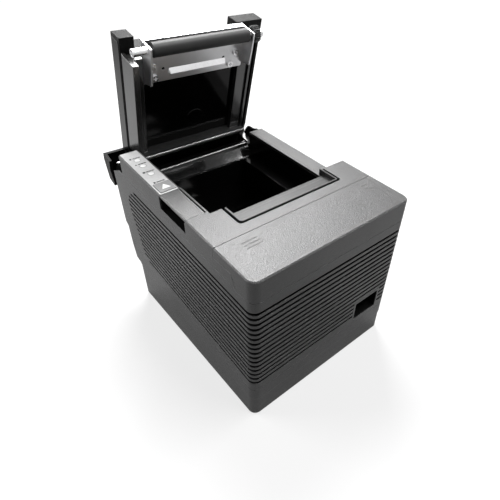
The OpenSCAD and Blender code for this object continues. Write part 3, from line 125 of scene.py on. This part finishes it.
class Shader:
    def __init__(self, name):
        self.material = bpy.data.materials.new(name)
        self.material.use_nodes = True
        self.tree = self.material.node_tree
        self.tree.nodes.clear()
        self.coords = self.node("ShaderNodeTexCoord", out="Object")

    def node(self, kind, settings=None, sockets=None, out=0):
        made = self.tree.nodes.new(kind)
        for key, value in (settings or {}).items():
            if key == "stops":
                for stop, (position, shade) in zip(made.color_ramp.elements, value):
                    stop.position = position
                    stop.color = (shade, shade, shade, 1)
            else:
                setattr(made, key, value)
        for key, value in (sockets or {}).items():
            if isinstance(value, Wire):
                self.tree.links.new(value.socket, made.inputs[key])
            else:
                made.inputs[key].default_value = value
        return Wire(self, made.outputs[out])

    def maths(self, operation, first, second, clamp=False):
        settings = {"operation": operation, "use_clamp": clamp}
        return self.node("ShaderNodeMath", settings, {0: first, 1: second})

    def noise(self, size=1, detail=2.0, coords=None):
        return self.node("ShaderNodeTexNoise", {}, {"Vector": coords or self.coords, "Scale": 1 / size,
            "Detail": detail})

    def ramp(self, factor, low, high):
        return self.node("ShaderNodeValToRGB", {"stops": [(low, 0), (high, 1)]}, {"Fac": factor})

    # The Mix node's colours are its sockets 6 and 7, and the mixed colour is its output 2
    def mixColour(self, factor, first, second):
        return self.node("ShaderNodeMix", {"data_type": "RGBA"}, {0: factor, 6: first, 7: second}, out=2)

    def clouded(self, factor, colour, tints):
        return self.mixColour(factor, tinted(colour, tints[0]), tinted(colour, tints[1]))

    def stretched(self, scale):
        return self.node("ShaderNodeMapping", {}, {"Vector": self.coords, "Scale": scale})

    def rounded(self, radius):
        return self.node("ShaderNodeBevel", {"samples": edgeFinish["samples"]}, {"Radius": radius})

    def placed(self, place):
        back = place.inverted()
        return self.node("ShaderNodeMapping", {}, {"Vector": self.coords, "Location": back.translation,
            "Rotation": back.to_euler()})

    def parts(self, coords):
        split = self.node("ShaderNodeSeparateXYZ", {}, {0: coords}).socket.node
        return [Wire(self, split.outputs[i]) for i in range(3)]

    def within(self, coords, low, high):
        mask = 1
        for along, start, end in zip(self.parts(coords), low, high):
            mask = mask * self.maths("GREATER_THAN", along, start) * self.maths("LESS_THAN", along, end)
        return mask

    # How far a point lies behind the nearest of the body's front and side faces, in metres
    def depthInside(self, coords):
        x, y = self.parts(coords)[:2]
        radius = body["cornerRadius"]
        across = self.maths("ABSOLUTE", x, 0) - (body["halfWidth"] - radius)
        ahead = radius - y
        corner = (self.maths("MAXIMUM", across, 0) ** 2 + self.maths("MAXIMUM", ahead, 0) ** 2) ** 0.5
        return radius - corner - self.maths("MINIMUM", self.maths("MAXIMUM", across, ahead), 0)

    def edges(self, soft):
        facing = self.node("ShaderNodeNewGeometry", out="Normal")
        settings = {"operation": "DOT_PRODUCT"}
        along = self.node("ShaderNodeVectorMath", settings, {0: soft, 1: facing}, out="Value")
        return self.maths("MULTIPLY", 1 - along, edgeFinish["gain"], clamp=True)

    def bump(self, height, distance, strength=1.0, normal=None):
        sockets = {"Height": height, "Distance": distance, "Strength": strength}
        if normal:
            sockets["Normal"] = normal
        return self.node("ShaderNodeBump", {}, sockets)

    def surface(self, **sockets):
        named = {key.replace("_", " "): value for key, value in sockets.items()}
        return self.node("ShaderNodeBsdfPrincipled", {}, named)

    def finish(self, **sockets):
        return self.close(self.surface(**sockets))

    def close(self, surface):
        end = self.tree.nodes.new("ShaderNodeOutputMaterial")
        self.tree.links.new(surface.socket, end.inputs["Surface"])
        return self.material


def grey(shade):
    return (shade, shade, shade, 1)


def tinted(colour, factor):
    return tuple(min(1, part * factor) for part in colour[:3]) + (1,)


# Moulded plastic with a spark-eroded grain, its rounded edges painted lighter, partly as wear and partly as a
# painted highlight. A painted shade darkens what lies deep in grooves and pockets, where little light gets
# in. Tints are factors on the colour.
mouldedLook = {"cloudDetail": 3, "cloudTints": (0.86, 1.14), "cloudGloss": 0.12, "grainDetail": 2,
    "grainRoughness": 0.1, "grainStrength": 0.9, "fleckScale": 1.7, "fleckDetail": 1,
    "fleckSpan": (0.35, 0.7), "fleckShare": 0.35, "fleckTint": 1.5, "edgeWearAndHighlightTint": 6, "paintedShadeTint": 0.3}


def mouldedPlastic(name, look, shade=None):
    look = dict(mouldedLook, **look)
    colour = look["colour"]
    shader = Shader(name)
    soft = shader.rounded(look["edgeRadius"])
    cloud = shader.noise(look["cloudSize"], look["cloudDetail"])
    grain = shader.noise(look["grainSize"], look["grainDetail"])
    flecks = shader.noise(look["grainSize"] * look["fleckScale"], look["fleckDetail"])
    fleck = shader.ramp(flecks, *look["fleckSpan"])
    base = shader.clouded(cloud, colour, look["cloudTints"])
    speckled = shader.mixColour(fleck * look["fleckShare"], base, tinted(colour, look["fleckTint"]))
    # Rounded edges painted lighter, partly as wear and partly as a painted highlight
    wornAndHighlighted = shader.mixColour(shader.edges(soft) * look["edgeWearAndHighlight"], speckled, tinted(colour, look["edgeWearAndHighlightTint"]))
    roughness = look["roughness"] - look["cloudGloss"] * cloud + look["grainRoughness"] * grain
    surface = shader.surface(Base_Color=wornAndHighlighted, Roughness=roughness, Specular_IOR_Level=look["specular"],
        Normal=shader.bump(grain, look["grainDepth"], look["grainStrength"], soft))
    if shade:
        # Painted shade: a flat dark diffuse surface mixed in where the mask says a groove or pocket lies
        paintedShade = shader.node("ShaderNodeBsdfDiffuse", {}, {"Color": tinted(colour, look["paintedShadeTint"])}, out="BSDF")
        surface = shader.node("ShaderNodeMixShader", {}, {0: shade(shader), 1: surface, 2: paintedShade}, out="Shader")
    return shader.close(surface)


# Polished plastic or glaze with faint waves and a thin film of dust
glossLook = {"waveSize": 0.03, "waveDetail": 1, "waveRoughness": 0.05, "waveDepth": 0.0006,
    "waveStrength": 0.6, "dustSize": 0.0011, "dustDetail": 4, "dustSpan": (0.52, 0.8), "dustShare": 0.25,
    "dustTint": 3, "dustRoughness": 0.12}


def glossPlastic(name, look):
    look = dict(glossLook, **look)
    shader = Shader(name)
    soft = shader.rounded(look["edgeRadius"])
    wave = shader.noise(look["waveSize"], look["waveDetail"])
    dust = shader.ramp(shader.noise(look["dustSize"], look["dustDetail"]), *look["dustSpan"])
    dusty = tinted(look["colour"], look["dustTint"])
    colour = shader.mixColour(dust * look["dustShare"], look["colour"], dusty)
    roughness = look["roughness"] + look["waveRoughness"] * wave + look["dustRoughness"] * dust
    return shader.finish(Base_Color=colour, Roughness=roughness, Specular_IOR_Level=look["specular"],
        Normal=shader.bump(wave, look["waveDepth"], look["waveStrength"], soft))


# Sheet or turned metal: fine lines along one axis, clouded plating and rounded edges
metalLook = {"lineDetail": 3, "lineRoughness": 0.16, "lineStrength": 0.7, "cloudSize": 0.012,
    "cloudDetail": 4, "cloudTints": (0.82, 1.1), "cloudGloss": 0.1}


def wornMetal(name, look):
    look = dict(metalLook, **look)
    shader = Shader(name)
    soft = shader.rounded(look["edgeRadius"])
    lines = shader.noise(detail=look["lineDetail"], coords=shader.stretched(look["lines"]))
    cloud = shader.noise(look["cloudSize"], look["cloudDetail"])
    colour = shader.clouded(cloud, look["colour"], look["cloudTints"])
    roughness = look["roughness"] + look["lineRoughness"] * lines - look["cloudGloss"] * cloud
    return shader.finish(Base_Color=colour, Metallic=1.0, Roughness=roughness,
        Normal=shader.bump(lines, look["lineDepth"], look["lineStrength"], soft))


# Ground rubber: fine lines, which run round the roller, and a dusty bloom
rubberLook = {"lineDetail": 2, "lineGloss": 0.08, "lineStrength": 0.8, "bloomSize": 0.009, "bloomDetail": 4,
    "bloomTints": (0.7, 1.35), "bloomRoughness": 0.1}


def groundRubber(name, look):
    look = dict(rubberLook, **look)
    shader = Shader(name)
    soft = shader.rounded(look["edgeRadius"])
    lines = shader.noise(detail=look["lineDetail"], coords=shader.stretched(look["lines"]))
    bloom = shader.noise(look["bloomSize"], look["bloomDetail"])
    colour = shader.clouded(bloom, look["colour"], look["bloomTints"])
    roughness = look["roughness"] + look["bloomRoughness"] * bloom - look["lineGloss"] * lines
    return shader.finish(Base_Color=colour, Roughness=roughness, Specular_IOR_Level=look["specular"],
        Normal=shader.bump(lines, look["lineDepth"], look["lineStrength"], soft))


# Circuit board: solder mask over a pattern of tracks
boardLook = {"trackScale": 160, "trackWidth": 0.04, "trackTint": 1.9, "trackDepth": 0.00005,
    "trackStrength": 0.8, "roughness": 0.3, "cloudSize": 0.004, "cloudRoughness": 0.1, "specular": 0.5}


def boardLacquer(name, look):
    look = dict(boardLook, **look)
    shader = Shader(name)
    tracks = shader.node("ShaderNodeTexBrick", {}, {"Vector": shader.coords, "Scale": look["trackScale"],
        "Mortar Size": look["trackWidth"], "Color1": grey(0), "Color2": grey(0), "Mortar": grey(1)})
    colour = shader.mixColour(tracks, look["colour"], tinted(look["colour"], look["trackTint"]))
    roughness = look["roughness"] + look["cloudRoughness"] * shader.noise(look["cloudSize"])
    return shader.finish(Base_Color=colour, Roughness=roughness, Specular_IOR_Level=look["specular"],
        Normal=shader.bump(tracks, look["trackDepth"], look["trackStrength"]))


# Depths at which the painted shade in the case's grooves begins and is full, and the box round the finger
# recess in the deck, which is painted in shade, both in the body's frame
grooveShade = {"start": 0.0002, "full": 0.0012}
fingerRecess = {"low": (-0.0722, 0.0752, 0.1301), "high": (-0.05, 0.1126, 0.1411)}


# Painted shade that deepens with depth behind the case's front and side faces
def shadedGrooves(shader):
    depth = shader.depthInside(shader.placed(bodyFrame))
    return shader.node("ShaderNodeMapRange", {}, {"Value": depth, "From Min": grooveShade["start"],
        "From Max": grooveShade["full"]})


# Painted shade over the whole finger recess
def shadedRecess(shader):
    return shader.within(shader.placed(bodyFrame), fingerRecess["low"], fingerRecess["high"])


# Case and cover
caseLook = {"colour": grey(0.022), "grainSize": 0.0006, "grainDepth": 0.00025, "cloudSize": 0.05,
    "roughness": 0.38, "specular": 0.56, "edgeRadius": 0.0006, "edgeWearAndHighlight": 0.9}
casePlastic = mouldedPlastic("casePlastic", caseLook)
groovedPlastic = mouldedPlastic("groovedPlastic", caseLook, shadedGrooves)
deckPlastic = mouldedPlastic("deckPlastic", caseLook, shadedRecess)
leverPlastic = mouldedPlastic("leverPlastic", dict(caseLook, colour=grey(0.05)))
socketPlastic = mouldedPlastic("socketPlastic", dict(caseLook, colour=grey(0.25)))
shellLook = dict(caseLook, colour=grey(0.006), roughness=0.4, specular=0.08)
shellPlastic = mouldedPlastic("shellPlastic", shellLook)
linerPlastic = mouldedPlastic("linerPlastic", {"colour": grey(0.022), "grainSize": 0.0008,
    "grainDepth": 0.00004, "cloudSize": 0.04, "roughness": 0.2, "specular": 0.9, "edgeRadius": 0.0006,
    "edgeWearAndHighlight": 0.7})
guidePlastic = mouldedPlastic("guidePlastic", {"colour": grey(0.02), "grainSize": 0.0006,
    "grainDepth": 0.00008, "cloudSize": 0.04, "roughness": 0.36, "specular": 0.3, "edgeRadius": 0.0005,
    "edgeWearAndHighlight": 0.9})
rockerPlastic = mouldedPlastic("rockerPlastic", {"colour": grey(0.12), "grainSize": 0.0006,
    "grainDepth": 0.00004, "cloudSize": 0.02, "roughness": 0.3, "specular": 0.6, "edgeRadius": 0.0005,
    "edgeWearAndHighlight": 0.6})

# Printed films and inks
filmLook = {"grainSize": 0.0004, "grainDepth": 0.00003, "cloudSize": 0.03, "roughness": 0.42, "specular": 0.5}
labelFilm = mouldedPlastic("labelFilm", dict(filmLook, colour=grey(0.5), edgeRadius=0.0002, edgeWearAndHighlight=0.3))
buttonFilm = mouldedPlastic("buttonFilm", dict(filmLook, colour=grey(0.22), edgeRadius=0.0003, edgeWearAndHighlight=0.6))
inkLook = {"grainSize": 0.0004, "grainDepth": 0.00001, "cloudSize": 0.01, "roughness": 0.5,
    "edgeRadius": 0.00005, "edgeWearAndHighlight": 0.1}
markInk = mouldedPlastic("markInk", dict(inkLook, colour=grey(0.008), specular=0.3))
paleInk = mouldedPlastic("paleInk", dict(inkLook, colour=grey(0.75), specular=0.4))

# Polished pieces
blackLook = {"colour": grey(0.002), "roughness": 0.08, "specular": 0.2, "edgeRadius": 0.0008}
glossBlack = glossPlastic("glossBlack", blackLook)
bucketBlack = glossPlastic("bucketBlack", dict(blackLook, roughness=0.06, specular=0.28))
lampPlastic = glossPlastic("lampPlastic", {"colour": grey(0.85), "roughness": 0.15, "specular": 0.6,
    "edgeRadius": 0.0003})
glazedCeramic = glossPlastic("glazedCeramic", {"colour": (0.5, 0.4, 0.28, 1), "roughness": 0.12,
    "specular": 0.5, "edgeRadius": 0.0002})

# Gears and electrical housings
acetalLook = {"grainSize": 0.0005, "grainDepth": 0.00003, "cloudSize": 0.01, "specular": 0.5}
blackAcetal = mouldedPlastic("blackAcetal", dict(acetalLook, colour=grey(0.012), roughness=0.32,
    edgeRadius=0.0003, edgeWearAndHighlight=0.8))
whiteAcetal = mouldedPlastic("whiteAcetal", dict(acetalLook, colour=(0.75, 0.73, 0.68, 1), roughness=0.35,
    edgeRadius=0.0002, edgeWearAndHighlight=0.1))
greenBoard = boardLacquer("greenBoard", {"colour": (0.02, 0.1, 0.045, 1)})

# Metals and rubbers: "lines" gives how tightly the fine lines are packed along X, Y and Z
zincSteel = wornMetal("zincSteel", {"colour": (0.62, 0.62, 0.63, 1), "lines": (40, 900, 900),
    "lineDepth": 0.00002, "roughness": 0.34, "edgeRadius": 0.0004})
brightSteel = wornMetal("brightSteel", {"colour": (0.78, 0.78, 0.79, 1), "lines": (2400, 60, 60),
    "lineDepth": 0.00001, "roughness": 0.16, "edgeRadius": 0.0003})
turnedBrass = wornMetal("turnedBrass", {"colour": (0.62, 0.45, 0.18, 1), "lines": (2000, 80, 80),
    "lineDepth": 0.00002, "roughness": 0.25, "edgeRadius": 0.0002})
extrudedAluminium = wornMetal("extrudedAluminium", {"colour": (0.6, 0.6, 0.61, 1), "lines": (30, 1500, 1500),
    "lineDepth": 0.00003, "roughness": 0.4, "edgeRadius": 0.0003})
platedCan = wornMetal("platedCan", {"colour": (0.16, 0.16, 0.17, 1), "lines": (900, 60, 60),
    "lineDepth": 0.00002, "roughness": 0.4, "edgeRadius": 0.0004})
rollerRubber = groundRubber("rollerRubber", {"colour": grey(0.022), "lines": (3500, 40, 40),
    "lineDepth": 0.00003, "roughness": 0.5, "specular": 0.3, "edgeRadius": 0.0004})
footRubber = groundRubber("footRubber", {"colour": grey(0.02), "lines": (600, 600, 600),
    "lineDepth": 0.00005, "roughness": 0.7, "specular": 0.4, "edgeRadius": 0.0004})

# The finish of each CAD node. The nodes that aren't named here are zinc-plated steel.
finishes = {
    "lower_case": casePlastic, "front_cover": casePlastic, "main_case": groovedPlastic,
    "top_deck": deckPlastic, "open_lever": leverPlastic, "cover_shell": shellPlastic,
    "cover_liner": linerPlastic, "exit_guide": guidePlastic, "drawer_socket": socketPlastic,
    "panel_label": labelFilm, "feed_button": buttonFilm, "lamp_windows": lampPlastic,
    "roll_bucket": bucketBlack, "paper_sensor": glossBlack, "paper_guide": glossBlack,
    "liner_panel": glossBlack, "power_rocker": rockerPlastic, "power_inlet": blackAcetal,
    "switch_body": blackAcetal, "platen_gear": blackAcetal, "reduction_gear": whiteAcetal,
    "idler_gear": whiteAcetal, "cutter_gear": whiteAcetal, "motor_pinion": turnedBrass,
    "cutter_pinion": turnedBrass, "strip_board": greenBoard, "main_board": greenBoard,
    "print_head": glazedCeramic, "head_sink": extrudedAluminium, "feed_motor": platedCan,
    "cutter_motor": platedCan, "platen_roller": rollerRubber, "rubber_feet": footRubber,
    "lever_pin": brightSteel, "head_pivot": brightSteel, "gear_posts": brightSteel,
    "cutter_shaft": brightSteel, "cutter_blade": brightSteel, "hinge_pins": brightSteel,
    "bracket_screws": brightSteel, "platen_shaft": brightSteel, "platen_sleeves": brightSteel,
    "end_sleeve": brightSteel, "latch_shaft": brightSteel,
}
for name, node in nodes.items():
    node.data.materials.clear()
    node.data.materials.append(finishes.get(name, zincSteel))
print("finishes given to the CAD nodes")


# New pieces are drawn in the body's or the shut cover's frame, and moved into place at the end
def startPiece():
    if bpy.context.object and bpy.context.object.mode != "OBJECT":
        bpy.ops.object.mode_set(mode="OBJECT")
    bpy.ops.object.select_all(action="DESELECT")


def settle(parts, name, place, material, ridesOn):
    startPiece()
    for part in parts:
        part.select_set(True)
    piece = parts[0]
    bpy.context.view_layer.objects.active = piece
    bpy.ops.object.transform_apply(location=True, rotation=True, scale=True)
    if len(parts) > 1:
        bpy.ops.object.join()
    piece.matrix_world = place
    bpy.ops.object.transform_apply(location=True, rotation=True, scale=True)
    piece.name = name
    piece.data.materials.clear()
    piece.data.materials.append(material)
    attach(piece, ridesOn)


# A thin raised shape with the given corners: a ring of the given stroke, or filled where the stroke is 0
def drawMark(place, corners, radius, rise, turn=0, stretch=1, stroke=0):
    startPiece()
    bpy.ops.mesh.primitive_circle_add(vertices=corners, radius=radius, fill_type="NGON", location=place)
    mark = bpy.context.object
    bpy.ops.object.mode_set(mode="EDIT")
    bpy.ops.transform.rotate(value=turn, orient_axis="Z", center_override=place)
    bpy.ops.transform.resize(value=(1, stretch, 1), center_override=place)
    if stroke:
        bpy.ops.mesh.inset(thickness=stroke)
        bpy.ops.mesh.delete(type="FACE")
        bpy.ops.mesh.select_all(action="SELECT")
    bpy.ops.mesh.extrude_region_move(TRANSFORM_OT_translate={"value": (0, 0, rise)})
    bpy.ops.mesh.select_all(action="SELECT")
    bpy.ops.mesh.normals_make_consistent(inside=False)
    bpy.ops.object.mode_set(mode="OBJECT")
    return mark


# Generic signs by the lamps and the button, each a figure and three ticks, and a dark ring round each lamp
panel = {
    "top": body["deckZ"] + 0.0003,
    "rise": 0.00006,
    "lampX": -0.0641,
    "lampY": (0.1414, 0.1553, 0.1659),
    "lampSigns": ("ring", "warning", "sheet"),
    "buttonSignY": 0.1279,
    "signBehind": 0.0041,
    "signShift": -0.0038,
    "signRadius": 0.0011,
    "tickShift": (-0.0012, 0.001, 0.0032),
    "ring": {"corners": 32, "radius": 0.00252, "stroke": 0.00035},
    "warning": {"corners": 3},
    "sheet": {"corners": 4, "stretch": 1.25, "turn": math.radians(45)},
    "tick": {"corners": 4, "radius": 0.0013, "stretch": 0.62, "turn": math.radians(45)},
}


def addPanelMarks(look):
    x, top, rise = look["lampX"], look["top"], look["rise"]
    marks = [drawMark((x, y, top), rise=rise, **look["ring"]) for y in look["lampY"]]
    rows = [(kind, y + look["signBehind"]) for kind, y in zip(look["lampSigns"], look["lampY"])]
    rows.append(("sheet", look["buttonSignY"]))
    for kind, y in rows:
        figure = dict(look[kind], radius=look["signRadius"], stroke=0)
        marks.append(drawMark((x + look["signShift"], y, top), rise=rise, **figure))
        for shift in look["tickShift"]:
            marks.append(drawMark((x + shift, y, top), rise=rise, **look["tick"]))
    settle(marks, "panelMarks", bodyFrame, markInk, "base")


addPanelMarks(panel)

# The feed sign on the button, a solid triangle that points to the rear
feedSign = {"place": (-0.06405, 0.1183, body["deckZ"] + 0.0009), "corners": 3, "radius": 0.0038,
    "stretch": 1.05, "rise": 0.00006}
settle([drawMark(**feedSign)], "feedSign", bodyFrame, paleInk, "feed_button")
print("panel marks drawn")


# A box between three pairs of ends, with nothing selected and the given kind of selection set
def drawBox(x, y, z, selectBy):
    startPiece()
    spans = (x, y, z)
    middle = [(low + high) / 2 for low, high in spans]
    size = [high - low for low, high in spans]
    bpy.ops.mesh.primitive_cube_add(size=1, location=middle, scale=size)
    bpy.ops.object.transform_apply(location=True, rotation=True, scale=True)
    bpy.ops.object.mode_set(mode="EDIT")
    bpy.ops.mesh.select_mode(type=selectBy)
    bpy.ops.mesh.select_all(action="DESELECT")
    bpy.ops.object.mode_set(mode="OBJECT")
    return bpy.context.object


# Thin glossy black strip on the outer left side of the cover, which makes that side dark, with its four
# corners rounded
coverDarkStrip = {"x": -0.0544, "thick": 0.0003, "y": (0.0768, 0.1812), "z": (0.1306, 0.1416),
    "bevel": 0.0012, "segments": 5}


def addCoverDarkStrip(look):
    trim = drawBox((look["x"] - look["thick"], look["x"]), look["y"], look["z"], "EDGE")
    for edge in trim.data.edges:
        first, second = (trim.data.vertices[i].co for i in edge.vertices)
        edge.select = abs(first.x - second.x) > look["thick"] / 2
    bpy.ops.object.mode_set(mode="EDIT")
    bpy.ops.mesh.bevel(offset=look["bevel"], segments=look["segments"])
    bpy.ops.mesh.select_all(action="SELECT")
    bpy.ops.mesh.normals_make_consistent(inside=False)
    settle([trim], "coverDarkStrip", coverFrame, glossBlack, "cover")


addCoverDarkStrip(coverDarkStrip)

# Pressed rib across the bracket, its slope turned up to the light and its ridge a little shorter
bracketRib = {"x": (-0.0222, 0.03), "y": (0.095, 0.0998), "base": 0.1182, "depth": 0.0026, "ridge": 0.0006,
    "ridgeShare": 0.96, "bevel": 0.0003, "segments": 2}


def addBracketRib(look):
    bottom = look["base"] - look["depth"]
    rib = drawBox(look["x"], look["y"], (bottom, look["base"]), "FACE")
    lowest = min(rib.data.polygons, key=lambda face: face.normal.z)
    lowest.select = True
    bpy.ops.object.mode_set(mode="EDIT")
    ridge = (look["ridgeShare"], look["ridge"] / (look["y"][1] - look["y"][0]), 1)
    corner = (sum(look["x"]) / 2, look["y"][1], bottom)
    bpy.ops.transform.resize(value=ridge, center_override=corner)
    bpy.ops.mesh.select_all(action="SELECT")
    bpy.ops.mesh.bevel(offset=look["bevel"], segments=look["segments"])
    bpy.ops.mesh.normals_make_consistent(inside=False)
    settle([rib], "bracketRib", coverFrame, brightSteel, "cover")


addBracketRib(bracketRib)
print("cover trim and bracket rib fitted")


# Lamps: a broad box high behind the right side, which the deck mirrors, a weaker one behind the left side,
# and a tube above the front, which draws the lines on the lip and the barrel. The floor's glow starts to grow
# at the first distance of its span and is full at the last.
studio = {
    "deckBox": {"place": (0.34, 0.44, 1.05), "size": 0.5, "power": 23, "aim": (0, 0, 0.12)},
    "leftBox": {"place": (-0.8, 0.9, 0.9), "size": 0.8, "power": 15, "aim": (0, 0, 0.1)},
    "frontTube": {"place": (0.4, -0.45, 1.1), "size": 0.8, "height": 0.04, "power": 11, "aim": (0, 0, 0.15)},
    "worldLight": 0.14,
    "floorSize": 8,
    "floorGlow": (0.7, 1.0),
    "glowSpan": (0.3, 1.1),
    "floorPaper": 0.22,
    "mirroredGlow": 0.4,
}


def addLamp(name, look):
    data = bpy.data.lights.new(name, "AREA")
    data.shape = "RECTANGLE"
    data.size = look["size"]
    data.size_y = look.get("height", look["size"])
    data.energy = look["power"]
    lamp = bpy.data.objects.new(name, data)
    bpy.context.scene.collection.objects.link(lamp)
    lamp.location = look["place"]
    aim = Vector(look["aim"]) - Vector(look["place"])
    lamp.rotation_euler = aim.to_track_quat("-Z", "Y").to_euler()


# White for rays that see, mirror or look through to the background, weaker for those that light the object
def addWorld(strength):
    world = bpy.data.worlds.new("studioWorld")
    bpy.context.scene.world = world
    world.use_nodes = True
    tree = world.node_tree
    path = tree.nodes.new("ShaderNodeLightPath")
    seen = path.outputs["Is Camera Ray"]
    for name in ("Is Glossy Ray", "Is Transmission Ray"):
        either = tree.nodes.new("ShaderNodeMath")
        either.operation = "MAXIMUM"
        tree.links.new(seen, either.inputs[0])
        tree.links.new(path.outputs[name], either.inputs[1])
        seen = either.outputs[0]
    level = tree.nodes.new("ShaderNodeMapRange")
    level.inputs["To Min"].default_value = strength
    tree.links.new(seen, level.inputs["Value"])
    back = tree.nodes["Background"]
    back.inputs["Color"].default_value = grey(1)
    tree.links.new(level.outputs[0], back.inputs["Strength"])


# The floor glows a little less near the object, so that a faint shadow stays there
def addFloor(look):
    bpy.ops.object.select_all(action="DESELECT")
    bpy.ops.mesh.primitive_plane_add(size=look["floorSize"])
    floor = bpy.context.object
    floor.name = "studioFloor"
    shader = Shader("floorPaper")
    camera = shader.node("ShaderNodeLightPath", out="Is Camera Ray")
    mirrored = shader.node("ShaderNodeLightPath", out="Is Glossy Ray") * look["mirroredGlow"]
    through = shader.node("ShaderNodeLightPath", out="Is Transmission Ray")
    seen = shader.maths("MAXIMUM", shader.maths("MAXIMUM", camera, mirrored), through)
    distance = shader.node("ShaderNodeVectorMath", {"operation": "LENGTH"}, {0: shader.coords}, out="Value")
    glow = shader.node("ShaderNodeMapRange", {}, {"Value": distance, "From Min": look["glowSpan"][0],
        "From Max": look["glowSpan"][1], "To Min": look["floorGlow"][0], "To Max": look["floorGlow"][1]})
    paper = shader.node("ShaderNodeBsdfDiffuse", {}, {"Color": grey(look["floorPaper"])}, out="BSDF")
    light = shader.node("ShaderNodeEmission", {}, {"Strength": seen * glow}, out="Emission")
    shader.close(shader.node("ShaderNodeAddShader", {}, {0: paper, 1: light}))
    floor.data.materials.append(shader.material)


for name in ("deckBox", "leftBox", "frontTube"):
    addLamp(name, studio[name])
addWorld(studio["worldLight"])
addFloor(studio)
bpy.context.scene.view_settings.view_transform = "Standard"
print("studio lit")
